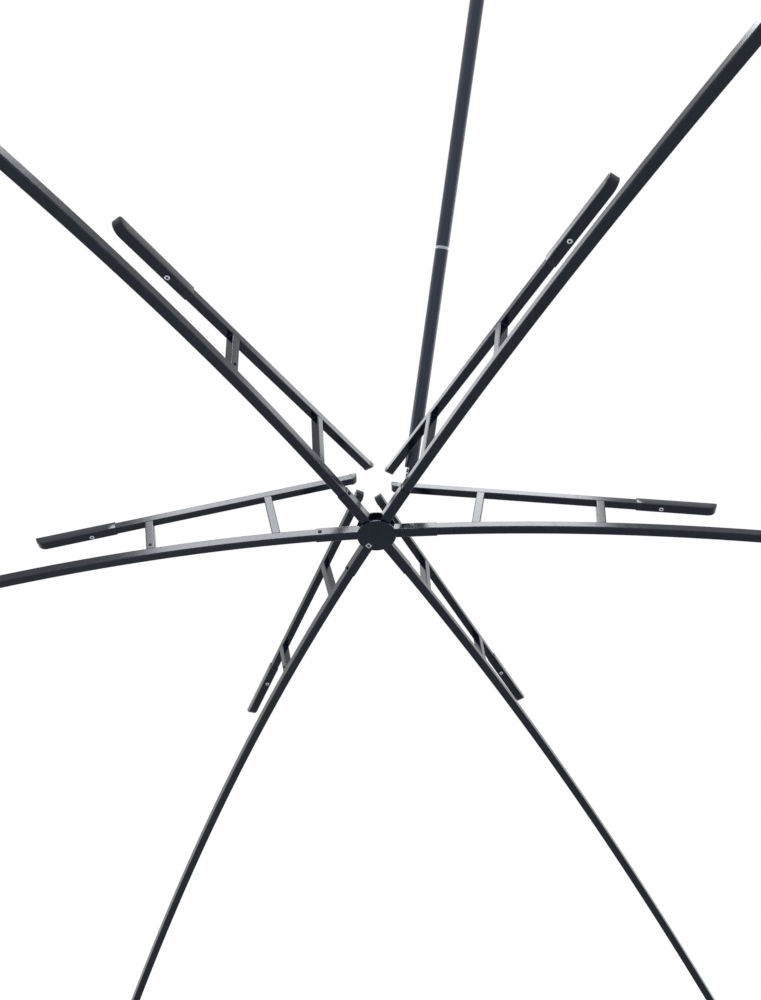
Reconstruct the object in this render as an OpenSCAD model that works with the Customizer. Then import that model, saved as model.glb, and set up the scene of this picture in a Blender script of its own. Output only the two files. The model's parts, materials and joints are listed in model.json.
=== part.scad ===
// Roof frame of a hexagonal two-tier canopy, seen as a bare frame without its fabric.
// Six arched square-tube rafters plug into a flat round hub. Above each rafter a straight
// chord stands on two struts and carries the upper tier, and a sleeve slides on its outer end.
// A round boom is bolted to a bracket on one hub arm and reaches out above the frame.
// Arm 1 points along +X and the others follow counterclockwise. The frame stands on its lugs.

/* [Rafters] */
// Horizontal distance from the hub's axis to the outer end of a rafter's tube
rafter_reach = 2400; // [1800:10:2500]
// Radius of the arch, along the middle of a rafter
arch_r = 4475; // [3900:25:6000]
// Side of a rafter's square tube
rafter_w = 25; // [22:0.5:30]
// Wall of the rafters, chords and struts
tube_wall = 1.5; // [1:0.1:2.5]
// Outer corner radius of every square tube
corner_r = 2.5; // [1.6:0.1:3.5]
// Lean of each arm's frame about its rafter, in degrees
lean = 5; // [0:0.5:6]

/* [Hub] */
// Diameter of the two hub plates
plate_d = 106; // [84:1:140]
// Thickness of a hub plate
plate_t = 3; // [2:0.5:6]
// Distance from the hub's axis to the open end of a hub arm
hub_arm_reach = 165; // [145:1:210]
// Wall of a hub arm
arm_wall = 1.2; // [1:0.1:2]
// Clearance between a rafter and its hub arm, each side
arm_slip = 0.3; // [0.2:0.05:0.5]
// Distance of the rafter bolt from the open end of its hub arm
bolt_inset = 12; // [9:0.5:20]
// Diameter of a rafter bolt's shank
rafter_bolt_d = 6; // [4:0.5:8]
// Side of the square washer under the hub
washer_w = 13.6; // [10:0.2:18]

/* [Upper tier] */
// Height of a chord's underside above its rafter's underside, both taken at the hub's axis
chord_rise = 236; // [222:1:260]
// Fall of a chord toward its outer end, in degrees
chord_fall = 13.2; // [12:0.1:14]
// Side of a chord's square tube
chord_w = 23; // [20:0.5:25]
// Side of a strut's square tube
strut_w = 23; // [18:0.5:25]
// Distance along the chord from the hub's axis to the chord's inner end
chord_start = 68; // [58:1:80]
// Distance along the chord from the hub's axis to the chord's outer end
chord_end = 910; // [880:1:915]
// Distance along the chord from the hub's axis to the inner strut
inner_strut_at = 315; // [280:1:360]
// Distance along the chord from the hub's axis to the outer strut
outer_strut_at = 649; // [600:1:670]
// Length of the rounded nose on a chord's inner plug
chord_nose = 20; // [10:0.5:20]

/* [Sleeves] */
// Length of a sleeve
sleeve_len = 213; // [190:1:220]
// Wall of a sleeve
sleeve_wall = 1.3; // [1:0.1:2]
// Clearance between a sleeve and its chord, each side
slide_gap = 0.3; // [0.2:0.05:0.4]
// Distance along the chord from the hub's axis to the tip of a sleeve that is not drawn out
sleeve_tip = 965; // [960:1:980]
// How far each of the six sleeves is drawn out from that place
sleeve_out = [-5, -15, -20, -12, 42, 88]; // [-20:1:100]
// Distance of the locking screw from a sleeve's inner end
lock_at = 66; // [30:1:120]
// Diameter of the locking screw's head
lock_head_d = 12; // [9:0.5:14]

/* [Boom] */
// Outer diameter of the boom
boom_d = 38; // [32:0.5:42]
// Wall of the boom's tubes
boom_wall = 2; // [1.5:0.1:3]
// Place of the boom's inner end: along X, along Y and above the hub's underside
boom_root = [110, -52, 237]; // [-60:1:250]
// Turn of the boom about the hub's axis, in degrees
boom_turn = -78; // [-82:0.5:-74]
// Rise of the boom above level, in degrees
boom_rise = 28; // [26:0.5:32]
// Length of the boom's inner tube
boom_inner_len = 614; // [400:1:700]
// Length of the boom's outer tube
boom_outer_len = 800; // [500:1:1000]
// Width of the pale collar between the two tubes
collar_w = 8; // [5:0.5:16]
// Thickness of the tongue on the boom's inner end
tongue_t = 8; // [5:0.5:12]
// Distance from the hub's axis to the foot of the boom's bracket
bracket_reach = 98; // [90:1:120]
// Diameter of the bracket's post
post_d = 16; // [12:0.5:20]

/* [End lugs] */
// Thickness of a lug
lug_t = 6; // [4:0.5:8]
// Length of a lug beyond its flange
lug_l = 40; // [30:1:60]
// Diameter of the hole for a leg's bolt
lug_hole_d = 8.5; // [6.5:0.5:10.5]

/* [Hidden] */
$fn = 48;
ARMS = [1:6];
ROUND_FN = 96;            // for the hub's plates and the rounded noses
ARCH_FN = 720;            // one step each half degree, so the arch stays true
CORNER_STEPS = 6;
seat_gap = 0.2;           // between a strut's curved foot and the rafter's back
hub_gap = 0.4;            // between a hub arm's corner and a hub plate
bolt_fit = 0.2;           // round a screw's shank
plug_fit = 0.3;           // between a plug and the tube that it fills
thin = 0.01;              // lets a cutter run past the face that it opens

arm_w = rafter_w + 2 * (arm_slip + arm_wall);
hub_room = arm_w * (cos(lean) + sin(lean)) + 2 * hub_gap;
pivot_z = plate_t + hub_room / 2;              // each arm leans about this height
core_room = 2.5;                               // lets neighbouring arms clear each other
core_af = arm_w / tan(30) + core_room;         // hexagonal core, across its flats
rafter_stop = 2;                               // from the core to a rafter's inner end
rafter_start = core_af / 2 + rafter_stop;
arch_z = pivot_z - arch_r;                     // centre of the arch
bolt_at = hub_arm_reach - bolt_inset;
rafter_bolt_head = [1.8 * rafter_bolt_d, 0.5 * rafter_bolt_d];
chord_z = pivot_z - rafter_w / 2 + chord_rise; // a chord's underside, at the hub's axis
plug_depth = 15;
washer_t = 1.5;
washer_at = [-23, 33];
washer_screw_d = 4;
washer_head = [7.5, 1.4];
strut_screw_d = 4.2;
strut_screw_head = [8, 2.4];
strut_screw_up = 14;                           // above the foot of an outer strut
spigot_h = 28;
spigot_lift = 2;                               // its square foot clears the rafter's curved back
sleeve_w = chord_w + 2 * (slide_gap + sleeve_wall);
sleeve_nose = sleeve_w;                        // radius of the rounded underside at the tip
lock_d = 6;
lock_head_h = 4;
lock_key_d = 5;
tongue_l = 34;
tongue_w = 24;
ear_t = 5;
ear_fit = 0.2;
ear_h = 13;
ear_back = 4;                                  // from the ears to the end of the boom's tube
web_t = 5;
cross_bolt_at = [-11, -25];                    // along the boom, on the tongue
cross_bolt_d = 6;
cross_bolt_head = [10, 4];
foot_plate = [44, 24, 4];
foot_screw_d = 5;
foot_screw_head = [8.5, 3];
foot_screw_at = 17;                            // each side of the foot plate's middle
collar_spigot = 50;
flange_t = 3;
end_cap_t = 3;
end_cap_inset = 0.5;                           // of the cap's rim inside the tube's outside

// Lowest corner of a leaning lug, which sets how high the hub stands
end_turn = asin(rafter_reach / arch_r);
lug_tip = flange_t + lug_l;
lug_low = arch_z + (arch_r - lug_t / 2) * cos(end_turn) - lug_tip * sin(end_turn);
hub_z = (rafter_w / 2) * sin(lean) - pivot_z - (lug_low - pivot_z) * cos(lean);

function numbered(name) = [for (i = ARMS) str(name, "_", i)];

// Distance from the chord's underside, square to it, down to the rafter's back
function strut_len(s) =
    let (x = s * cos(chord_fall), z = chord_z - s * sin(chord_fall) - arch_z)
    let (along = x * sin(chord_fall) + z * cos(chord_fall))
    along - sqrt(along * along - x * x - z * z + pow(arch_r + rafter_w / 2, 2));

// A point of arm i's own frame, after its lean and its turn about the hub's axis
function arm_point(i, p) =
    let (y = p.y * cos(lean) + (p.z - pivot_z) * sin(lean))
    let (z = pivot_z + (p.z - pivot_z) * cos(lean) - p.y * sin(lean))
    let (turn = 60 * (i - 1))
    [p.x * cos(turn) - y * sin(turn), p.x * sin(turn) + y * cos(turn), z];

// A point given along the boom, across it and square above it
function boom_point(p) =
    let (level = p.x * cos(boom_rise) - p.z * sin(boom_rise))
    boom_root + [level * cos(boom_turn) - p.y * sin(boom_turn),
                 level * sin(boom_turn) + p.y * cos(boom_turn),
                 p.x * sin(boom_rise) + p.z * cos(boom_rise)];

// ---- Places ----

module at_hub() {
    translate([0, 0, hub_z]) children();
}

module on_arm(i) {
    at_hub() rotate([0, 0, 60 * (i - 1)]) translate([0, 0, pivot_z])
        rotate([-lean, 0, 0]) translate([0, 0, -pivot_z]) children();
}

// Middle of the arched tube at a horizontal distance from the hub: x runs outward along it
module on_arch(reach) {
    turn = asin(reach / arch_r);
    translate([arch_r * sin(turn), 0, arch_z + arch_r * cos(turn)]) rotate([0, turn, 0]) children();
}

// Chord's underside: x runs outward along the chord, z is square to it
module on_chord(s = 0) {
    translate([0, 0, chord_z]) rotate([0, chord_fall, 0]) translate([s, 0, 0]) children();
}

module on_boom(s = 0) {
    at_hub() translate(boom_root) rotate([0, -boom_rise, boom_turn]) translate([s, 0, 0]) children();
}

// ---- Shapes ----

// Square outline with round corners
module round_square(side, r) {
    c = side / 2 - r;
    corners = [[c, c], [-c, c], [-c, -c], [c, -c]];
    polygon([for (k = [0:3]) for (n = [0:CORNER_STEPS])
        corners[k] + r * [cos(90 * (k + n / CORNER_STEPS)), sin(90 * (k + n / CORNER_STEPS))]]);
}

module tube_section(side, wall) {
    difference() {
        round_square(side, corner_r);
        round_square(side - 2 * wall, corner_r - wall / 2);
    }
}

// Outline of what fills a square tube with that outer side, chamfered to clear its round corners
module plug_section(side) {
    h = side / 2 - tube_wall - plug_fit;
    c = h - (corner_r - tube_wall / 2 - plug_fit);
    polygon([[h, c], [c, h], [-c, h], [-h, c], [-h, -c], [-c, -h], [c, -h], [h, -c]]);
}

// Straight square tube along +X, from its middle
module square_tube(length, side, wall) {
    rotate([90, 0, 90]) linear_extrude(length) tube_section(side, wall);
}

// Square tube that follows the arch between two horizontal distances
module arch_tube(from, to, side, wall) {
    first = asin(from / arch_r);
    last = asin(to / arch_r);
    translate([0, 0, arch_z]) rotate([-90, -90, 0]) rotate([0, 0, first])
        rotate_extrude(angle = last - first, $fn = ARCH_FN) translate([arch_r, 0])
            tube_section(side, wall);
}

// Everything below the rafter's back, raised by a gap
module below_arch(gap) {
    translate([0, 0, arch_z]) rotate([90, 0, 0])
        cylinder(r = arch_r + rafter_w / 2 + gap, h = 4 * rafter_w, center = true, $fn = ARCH_FN);
}

// Round bar along +X from the origin
module bar_x(length, d) {
    rotate([0, 90, 0]) cylinder(h = length, d = d);
}

// Round hole or shank along Y, between two places
module across(from, to, d) {
    translate([0, from, 0]) rotate([-90, 0, 0]) cylinder(h = to - from, d = d);
}

// Side view, extruded across: full height, with the underside rounded up to the far end
module nosed_block(length, side, inset, r) {
    low = inset;
    high = side - inset;
    rotate([90, 0, 0]) linear_extrude(side, center = true) difference() {
        translate([-thin, low]) square([length - inset + thin, high - low]);
        difference() {
            translate([length - r, low - thin]) square([r, r - low + thin]);
            translate([length - r, r]) circle(r = r - inset, $fn = ROUND_FN);
        }
    }
}

// ---- Hub ----

module hub_bottom_plate() {
    color("#151c2b") at_hub() difference() {
        cylinder(h = plate_t, d = plate_d, $fn = ROUND_FN);
        translate([washer_at.x, washer_at.y, -thin])
            cylinder(h = plate_t + 2 * thin, d = washer_screw_d + 2 * bolt_fit);
    }
}

module hub_core() {
    color("#151c2b") at_hub() translate([0, 0, plate_t]) rotate([0, 0, 30])
        cylinder(h = hub_room, r = core_af / 2 / cos(30), $fn = 6);
}

module hub_top_plate() {
    color("#151c2b") at_hub() translate([0, 0, plate_t + hub_room])
        cylinder(h = plate_t, d = plate_d, $fn = ROUND_FN);
}

module square_washer() {
    color("#c9ccd0") at_hub() translate([washer_at.x, washer_at.y, -washer_t]) rotate([0, 0, 45])
        difference() {
            translate([-washer_w / 2, -washer_w / 2, 0]) cube([washer_w, washer_w, washer_t]);
            translate([0, 0, -thin])
                cylinder(h = washer_t + 2 * thin, d = washer_screw_d + 2 * bolt_fit);
        }
}

module washer_screw() {
    color("#23272e") at_hub() translate([washer_at.x, washer_at.y, -washer_t]) {
        translate([0, 0, -washer_head[1]]) cylinder(h = washer_head[1], d = washer_head[0]);
        translate([0, 0, -thin]) cylinder(h = washer_t + plate_t + thin, d = washer_screw_d);
    }
}

module hub_arm(i) {
    color("#151c2b") on_arm(i) difference() {
        arch_tube(core_af / 2 + seat_gap, hub_arm_reach, arm_w, arm_wall);
        on_arch(bolt_at) across(-arm_w, arm_w, rafter_bolt_d + 2 * bolt_fit);
        if (i == 6)
            on_arch(bracket_reach) for (side = [-1, 1])
                translate([side * foot_screw_at, 0, rafter_w / 2])
                    cylinder(h = arm_w, d = foot_screw_d + 2 * bolt_fit);
    }
}

// ---- Rafters ----

module rafter(i) {
    color("#1b2434") on_arm(i) difference() {
        arch_tube(rafter_start, rafter_reach, rafter_w, tube_wall);
        on_arch(bolt_at) across(-arm_w, arm_w, rafter_bolt_d + 2 * bolt_fit);
    }
}

module rafter_bolts() {
    color("#23272e") for (i = ARMS) on_arm(i) on_arch(bolt_at) {
        across(-arm_w / 2 + arm_wall / 2, arm_w / 2 + thin, rafter_bolt_d);
        across(arm_w / 2, arm_w / 2 + rafter_bolt_head[1], rafter_bolt_head[0]);
    }
}

module rafter_lugs() {
    color("#2a2e35") for (i = ARMS) on_arm(i) on_arch(rafter_reach) difference() {
        union() {
            translate([-plug_depth, 0, 0]) rotate([90, 0, 90])
                linear_extrude(plug_depth + thin) plug_section(rafter_w);
            translate([0, -rafter_w / 2, -rafter_w / 2]) cube([flange_t, rafter_w, rafter_w]);
            translate([flange_t - thin, -rafter_w / 2, -lug_t / 2])
                cube([lug_l + thin, rafter_w, lug_t]);
        }
        translate([lug_tip - lug_l / 2, 0, -lug_t]) cylinder(h = 2 * lug_t, d = lug_hole_d);
    }
}

// ---- Upper tier ----

module chord(i) {
    color("#1b2434") on_arm(i) on_chord(chord_start) translate([0, 0, chord_w / 2])
        square_tube(chord_end - chord_start, chord_w, tube_wall);
}

module chord_plugs() {
    color("#101216") for (i = ARMS) on_arm(i) on_chord(chord_start) {
        mirror([1, 0, 0]) translate([thin, 0, 0])
            nosed_block(chord_nose - thin, chord_w, 0, chord_nose - thin);
        translate([-thin, 0, chord_w / 2]) rotate([90, 0, 90])
            linear_extrude(plug_depth + thin) plug_section(chord_w);
    }
}

// Square tube from the chord's underside down to the rafter's back
module strut(s) {
    difference() {
        on_chord(s) translate([0, 0, -strut_len(s) - rafter_w])
            linear_extrude(strut_len(s) + rafter_w) tube_section(strut_w, tube_wall);
        below_arch(seat_gap);
    }
}

module inner_strut(i) {
    color("#1b2434") on_arm(i) strut(inner_strut_at);
}

module outer_strut(i) {
    color("#1b2434") on_arm(i) difference() {
        strut(outer_strut_at);
        at_strut_screw() across(-strut_w, strut_w, strut_screw_d + 2 * bolt_fit);
    }
}

module at_strut_screw() {
    on_chord(outer_strut_at) translate([0, 0, strut_screw_up - strut_len(outer_strut_at)]) children();
}

module strut_spigots() {
    color("#2a2e35") for (i = ARMS) on_arm(i) difference() {
        on_chord(outer_strut_at) translate([0, 0, spigot_lift - strut_len(outer_strut_at)])
            linear_extrude(spigot_h) plug_section(strut_w);
        at_strut_screw() across(-strut_w, strut_w, strut_screw_d + 2 * bolt_fit);
    }
}

module strut_screws() {
    color("#23272e") for (i = ARMS) on_arm(i) at_strut_screw() {
        across(-strut_w / 2 + tube_wall / 2, strut_w / 2 + thin, strut_screw_d);
        across(strut_w / 2, strut_w / 2 + strut_screw_head[1], strut_screw_head[0]);
    }
}

// ---- Sleeves ----

// A sleeve's own frame: x from its inner end outward, z from its underside up
module on_sleeve(i) {
    on_arm(i) on_chord(sleeve_tip + sleeve_out[i - 1] - sleeve_len)
        translate([0, 0, -slide_gap - sleeve_wall]) children();
}

module sleeve(i) {
    color("#1b2434") on_sleeve(i) difference() {
        intersection() {
            translate([0, 0, sleeve_w / 2]) rotate([90, 0, 90]) linear_extrude(sleeve_len)
                round_square(sleeve_w, corner_r + sleeve_wall / 2);
            nosed_block(sleeve_len, sleeve_w, 0, sleeve_nose);
        }
        intersection() {
            translate([-thin, 0, sleeve_w / 2]) rotate([90, 0, 90]) linear_extrude(sleeve_len)
                round_square(chord_w + 2 * slide_gap, corner_r);
            nosed_block(sleeve_len, sleeve_w, sleeve_wall, sleeve_nose);
        }
        translate([lock_at, 0, -thin]) cylinder(h = sleeve_wall + 2 * thin, d = lock_d + 2 * bolt_fit);
    }
}

module sleeve_screw(i) {
    color("#d5d7da") on_sleeve(i) translate([lock_at, 0, 0]) {
        translate([0, 0, -thin]) cylinder(h = sleeve_wall + thin, d = lock_d);
        difference() {
            translate([0, 0, -lock_head_h]) cylinder(h = lock_head_h, d = lock_head_d);
            translate([0, 0, -lock_head_h - thin]) cylinder(h = lock_head_h / 2, d = lock_key_d, $fn = 6);
        }
    }
}

// ---- Boom ----

module boom_tube(from, length) {
    on_boom(from) difference() {
        bar_x(length, boom_d);
        translate([-thin, 0, 0]) bar_x(length + 2 * thin, boom_d - 2 * boom_wall);
    }
}

module boom_inner_tube() {
    color("#323d4e") boom_tube(0, boom_inner_len);
}

module boom_outer_tube() {
    color("#323d4e") boom_tube(boom_inner_len + collar_w, boom_outer_len);
}

module boom_collar() {
    color("#aab0b8") on_boom(boom_inner_len) {
        bar_x(collar_w, boom_d);
        translate([-collar_spigot, 0, 0])
            bar_x(collar_w + 2 * collar_spigot, boom_d - 2 * (boom_wall + plug_fit));
    }
}

module boom_end_cap() {
    inset = boom_d - 2 * (boom_wall + plug_fit);
    color("#101216") on_boom(boom_inner_len + collar_w + boom_outer_len) {
        bar_x(end_cap_t, boom_d - 2 * end_cap_inset);
        translate([-plug_depth, 0, 0]) bar_x(plug_depth + thin, inset);
    }
}

// Plug in the boom's inner end, with a flat tongue that the bracket's ears hold
module boom_tongue() {
    color("#2a2e35") on_boom() difference() {
        union() {
            translate([-thin, 0, 0]) bar_x(2 * plug_depth, boom_d - 2 * (boom_wall + plug_fit));
            translate([-tongue_l, -tongue_t / 2, -tongue_w / 2])
                cube([tongue_l + thin, tongue_t, tongue_w]);
        }
        for (x = cross_bolt_at) translate([x, 0, 0])
            across(-boom_d, boom_d, cross_bolt_d + 2 * bolt_fit);
    }
}

// Foot plate on the hub arm's back, a slanting post and a channel with two ears
module boom_bracket() {
    ear_in = tongue_t / 2 + ear_fit;
    ear_out = ear_in + ear_t;
    channel_l = tongue_l - ear_back;
    web_z = -ear_h - web_t;
    foot = arm_point(6, foot_middle());
    head = boom_point([-ear_back - channel_l / 2, 0, web_z + web_t / 4]);
    color("#1b2434") {
        on_boom(-tongue_l) difference() {
            translate([0, -ear_out, web_z]) cube([channel_l, 2 * ear_out, 2 * ear_h + web_t]);
            translate([-thin, -ear_in, -ear_h]) cube([channel_l + 2 * thin, 2 * ear_in, 2 * ear_h + thin]);
            for (x = cross_bolt_at) translate([x + tongue_l, 0, 0])
                across(-boom_d, boom_d, cross_bolt_d + 2 * bolt_fit);
        }
        difference() {
            union() {
                at_hub() post(foot, head);
                on_foot() translate([-foot_plate.x / 2, -foot_plate.y / 2, 0]) cube(foot_plate);
            }
            on_foot() translate([-foot_plate.x, -foot_plate.x, -foot_plate.x])
                cube([2 * foot_plate.x, 2 * foot_plate.x, foot_plate.x]);
            on_foot() for (side = [-1, 1]) translate([side * foot_screw_at, 0, -thin])
                cylinder(h = foot_plate.z + 2 * thin, d = foot_screw_d + 2 * bolt_fit);
        }
    }
}

module on_foot() {
    on_arm(6) on_arch(bracket_reach) translate([0, 0, arm_w / 2]) children();
}

function foot_middle() =
    let (turn = asin(bracket_reach / arch_r), r = arch_r + arm_w / 2 + foot_plate.z / 2)
    [r * sin(turn), 0, arch_z + r * cos(turn)];

module post(from, to) {
    v = to - from;
    translate(from) rotate([0, acos(v.z / norm(v)), atan2(v.y, v.x)]) cylinder(h = norm(v), d = post_d);
}

module bracket_bolts() {
    ear_out = tongue_t / 2 + ear_fit + ear_t;
    color("#9aa0a8") {
        on_boom() for (x = cross_bolt_at) translate([x, 0, 0]) {
            across(-ear_out - thin, ear_out + thin, cross_bolt_d);
            across(ear_out, ear_out + cross_bolt_head[1], cross_bolt_head[0]);
            across(-ear_out - cross_bolt_head[1], -ear_out, cross_bolt_head[0]);
        }
        on_foot() for (side = [-1, 1]) translate([side * foot_screw_at, 0, 0]) {
            translate([0, 0, -arm_wall]) cylinder(h = foot_plate.z + arm_wall + thin, d = foot_screw_d);
            translate([0, 0, foot_plate.z]) cylinder(h = foot_screw_head[1], d = foot_screw_head[0]);
        }
    }
}

// ---- Assembly ----

hub_bottom_plate();
hub_core();
hub_top_plate();
square_washer();
washer_screw();
for (i = ARMS) {
    hub_arm(i);
    rafter(i);
    chord(i);
    inner_strut(i);
    outer_strut(i);
    sleeve(i);
    sleeve_screw(i);
}
rafter_bolts();
strut_spigots();
strut_screws();
chord_plugs();
rafter_lugs();
boom_inner_tube();
boom_outer_tube();
boom_collar();
boom_tongue();
boom_end_cap();
boom_bracket();
bracket_bolts();
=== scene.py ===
import json
import math
import bmesh
import bpy
from mathutils import Matrix, Vector


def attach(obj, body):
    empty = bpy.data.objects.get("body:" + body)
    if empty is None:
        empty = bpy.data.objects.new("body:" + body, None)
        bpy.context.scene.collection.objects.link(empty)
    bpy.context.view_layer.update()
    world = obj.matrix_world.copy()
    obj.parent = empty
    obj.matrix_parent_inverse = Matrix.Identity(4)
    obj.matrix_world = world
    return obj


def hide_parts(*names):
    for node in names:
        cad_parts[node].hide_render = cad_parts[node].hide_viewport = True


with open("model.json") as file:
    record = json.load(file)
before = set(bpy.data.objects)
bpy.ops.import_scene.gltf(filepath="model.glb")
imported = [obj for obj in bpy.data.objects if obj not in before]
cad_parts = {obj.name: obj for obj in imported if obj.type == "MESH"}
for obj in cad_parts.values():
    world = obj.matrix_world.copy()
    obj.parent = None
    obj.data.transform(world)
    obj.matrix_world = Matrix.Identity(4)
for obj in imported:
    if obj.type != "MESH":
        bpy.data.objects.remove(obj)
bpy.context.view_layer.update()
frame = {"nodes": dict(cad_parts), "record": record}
armCount = 6
arms = range(1, armCount + 1)
print("frame loaded:", len(frame["nodes"]), "nodes")

# All sizes are in metres. These four are shared, because they place every arm and the hub's height.
rafter = {
    "side": 0.025,
    "wall": 0.0015,
    "corner": 0.0025,        # outer radius of every square tube
    "reach": 2.4,
    "archRadius": 4.475,
    "step": 0.03,            # between two rings of the swept tube
}
hub = {
    "plate": 0.106,
    "thick": 0.003,
    "armReach": 0.165,
    "armWall": 0.0012,
    "slip": 0.0003,          # between a rafter and its socket
    "gap": 0.0004,           # between an arm's corner and a hub plate
    "coreRoom": 0.0025,      # lets neighbouring arms clear each other
    "rafterGap": 0.002,      # between the core and a rafter's inner end
    "lean": math.radians(5),
    "seat": 0.0002,          # between two pieces that meet, such as a strut and its rafter
}
upper = {
    "side": 0.023,
    "rise": 0.236,
    "fall": math.radians(13.2),
    "start": 0.068,
    "end": 0.91,
    "innerStrut": 0.315,
    "outerStrut": 0.649,
}
lug = {"thick": 0.006, "flange": 0.003, "length": 0.04}

armSide = rafter["side"] + 2 * (hub["slip"] + hub["armWall"])
hubRoom = armSide * (math.cos(hub["lean"]) + math.sin(hub["lean"])) + 2 * hub["gap"]
pivotHeight = hub["thick"] + hubRoom / 2
coreFlats = armSide / math.tan(math.radians(30)) + hub["coreRoom"]
archHeight = pivotHeight - rafter["archRadius"]
chordHeight = pivotHeight - rafter["side"] / 2 + upper["rise"]

# The frame stands on the lowest corner of its lugs
endTurn = math.asin(rafter["reach"] / rafter["archRadius"])
lugLow = archHeight + (rafter["archRadius"] - lug["thick"] / 2) * math.cos(endTurn)
lugLow -= (lug["flange"] + lug["length"]) * math.sin(endTurn)
hubHeight = rafter["side"] / 2 * math.sin(hub["lean"]) - pivotHeight
hubHeight -= (lugLow - pivotHeight) * math.cos(hub["lean"])


def move(x=0.0, y=0.0, z=0.0):
    return Matrix.Translation((x, y, z))


def turn(angle, axis):
    return Matrix.Rotation(angle, 4, axis)


def armPlace(i):
    lean = move(z=pivotHeight) @ turn(-hub["lean"], "X") @ move(z=-pivotHeight)
    return move(z=hubHeight) @ turn(math.radians(360 / armCount * (i - 1)), "Z") @ lean


def archPlace(reach):
    angle = math.asin(reach / rafter["archRadius"])
    radius = rafter["archRadius"]
    return move(radius * math.sin(angle), 0, archHeight + radius * math.cos(angle)) @ turn(angle, "Y")


def chordPlace(along=0.0):
    return move(z=chordHeight) @ turn(upper["fall"], "Y") @ move(along)


def strutLength(along):
    x = along * math.cos(upper["fall"])
    z = chordHeight - along * math.sin(upper["fall"]) - archHeight
    down = x * math.sin(upper["fall"]) + z * math.cos(upper["fall"])
    back = rafter["archRadius"] + rafter["side"] / 2
    return down - math.sqrt(down * down - x * x - z * z + back * back)


def addNode(tree, kind, inputs=None, **settings):
    node = tree.nodes.new(kind)
    for name, value in settings.items():
        setattr(node, name, value)
    for key, value in (inputs or {}).items():
        if isinstance(value, bpy.types.NodeSocket):
            tree.links.new(value, node.inputs[key])
        else:
            node.inputs[key].default_value = value
    return node


def calc(tree, operation, a, b=0.0):
    return addNode(tree, "ShaderNodeMath", {0: a, 1: b}, operation=operation).outputs[0]


def blend(tree, amount, first, second):
    wiring = {0: amount, 6: first, 7: second}
    return addNode(tree, "ShaderNodeMix", wiring, data_type="RGBA").outputs[2]


def newTree(name, kind, inputs, outputs):
    tree = bpy.data.node_groups.new(name, kind)
    for label, socket, value in inputs:
        made = tree.interface.new_socket(label, in_out="INPUT", socket_type=socket)
        if value is not None:
            made.default_value = value
    for label, socket in outputs:
        tree.interface.new_socket(label, in_out="OUTPUT", socket_type=socket)
    given = addNode(tree, "NodeGroupInput").outputs
    return tree, given, addNode(tree, "NodeGroupOutput").inputs


def shapeTree(name, inputs):
    listed = [("Geometry", "NodeSocketGeometry", None)] + inputs
    listed.append(("Material", "NodeSocketMaterial", None))
    return newTree(name, "GeometryNodeTree", listed, [("Geometry", "NodeSocketGeometry")])


def closeTree(tree, given, result, geometry):
    real = addNode(tree, "GeometryNodeRealizeInstances", {0: geometry})
    wiring = {"Geometry": real.outputs[0], "Material": given["Material"]}
    painted = addNode(tree, "GeometryNodeSetMaterial", wiring)
    tree.links.new(painted.outputs[0], result["Geometry"])
    return tree


def noise(tree, spot, scale, detail, roughness=0.5):
    wiring = {"Vector": spot, "Scale": scale, "Detail": detail, "Roughness": roughness}
    return addNode(tree, "ShaderNodeTexNoise", wiring).outputs[0]


def stretched(tree, value, low, high):
    wiring = {"Value": value, "From Min": low, "From Max": high}
    return addNode(tree, "ShaderNodeMapRange", wiring).outputs[0]


coatGrain = {"fineScale": 1300.0, "fineShare": 0.12}


# The coat's orange peel, and a slow cloud that shifts its tone and dullness
def buildCoatGrain():
    inputs = [("Peel Scale", "NodeSocketFloat", 260.0), ("Cloud Scale", "NodeSocketFloat", 5.0)]
    outputs = [("Height", "NodeSocketFloat"), ("Cloud", "NodeSocketFloat")]
    tree, given, result = newTree("coatGrain", "ShaderNodeTree", inputs, outputs)
    spot = addNode(tree, "ShaderNodeTexCoord").outputs["Object"]
    peel = noise(tree, spot, given["Peel Scale"], detail=2.0)
    fine = noise(tree, spot, coatGrain["fineScale"], detail=1.0)
    cloud = noise(tree, spot, given["Cloud Scale"], detail=4.0)
    height = calc(tree, "ADD", peel, calc(tree, "MULTIPLY", fine, coatGrain["fineShare"]))
    tree.links.new(height, result["Height"])
    tree.links.new(cloud, result["Cloud"])
    return tree


edgeWearAndHighlight = {"falloff": 2.0, "chipScale": 170.0, "chipSize": 0.16, "chipShare": 0.7}


# Worn and chipped edges, in part a painted highlight along them, where a piece carries the attribute
# "edge"
def buildEdgeWearAndHighlight():
    inputs = [("Amount", "NodeSocketFloat", 0.5), ("Patch Scale", "NodeSocketFloat", 60.0)]
    tree, given, result = newTree("edgeWearAndHighlight", "ShaderNodeTree", inputs, [("Mask", "NodeSocketFloat")])
    edge = addNode(tree, "ShaderNodeAttribute", attribute_name="edge").outputs["Fac"]
    spot = addNode(tree, "ShaderNodeTexCoord").outputs["Object"]
    patch = noise(tree, spot, given["Patch Scale"], detail=5.0)
    chip = addNode(tree, "ShaderNodeTexVoronoi", {"Vector": spot, "Scale": edgeWearAndHighlight["chipScale"]})
    uneven = calc(tree, "MULTIPLY", patch, patch)
    rubbedAndHighlit = calc(tree, "MULTIPLY", calc(tree, "POWER", edge, edgeWearAndHighlight["falloff"]), uneven)
    chipped = calc(tree, "LESS_THAN", chip.outputs["Distance"], edgeWearAndHighlight["chipSize"])
    nick = calc(tree, "MULTIPLY", calc(tree, "MULTIPLY", chipped, edge), edgeWearAndHighlight["chipShare"])
    both = calc(tree, "MAXIMUM", rubbedAndHighlit, nick)
    tree.links.new(calc(tree, "MULTIPLY", both, given["Amount"]), result["Mask"])
    return tree


scuffs = {"scale": 38.0, "low": 0.6, "high": 0.74}


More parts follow.
